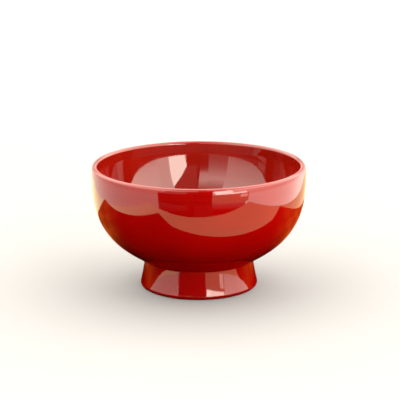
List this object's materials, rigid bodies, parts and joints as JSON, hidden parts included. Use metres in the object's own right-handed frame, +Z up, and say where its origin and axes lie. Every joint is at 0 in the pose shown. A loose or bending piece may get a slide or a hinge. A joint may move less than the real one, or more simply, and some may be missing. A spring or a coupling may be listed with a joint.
{
  "type": "rice bowl",
  "caption": "Deep round lacquered rice bowl on a turned foot ring, red inside and out, with a wood core, cloth reinforcement and ground under the lacquer.",
  "frame": {"origin": "on the table under the middle of the foot ring", "axes": "+Z up along the bowl's axis of revolution; X and Y are equivalent, because the bowl is round"},
  "size_m": [0.12, 0.12, 0.0695],
  "materials": {
    "turned_wood": "turned and sanded, sealed by the coats over it",
    "hemp_cloth": "plain woven cloth set in lacquer",
    "ground_coat": "fine matte mineral ground, rubbed level",
    "red_lacquer": "high gloss opaque red lacquer"
  },
  "bodies": {
    "root": {"wood_core": "turned_wood", "rim_cloth": "hemp_cloth", "well_cloth": "hemp_cloth", "foot_cloth": "hemp_cloth", "inner_ground": "ground_coat", "outer_ground": "ground_coat", "foot_ground": "ground_coat", "inner_lacquer": "red_lacquer", "outer_lacquer": "red_lacquer", "foot_rim_lacquer": "red_lacquer", "recess_lacquer": "red_lacquer"}
  },
  "joints": []
}
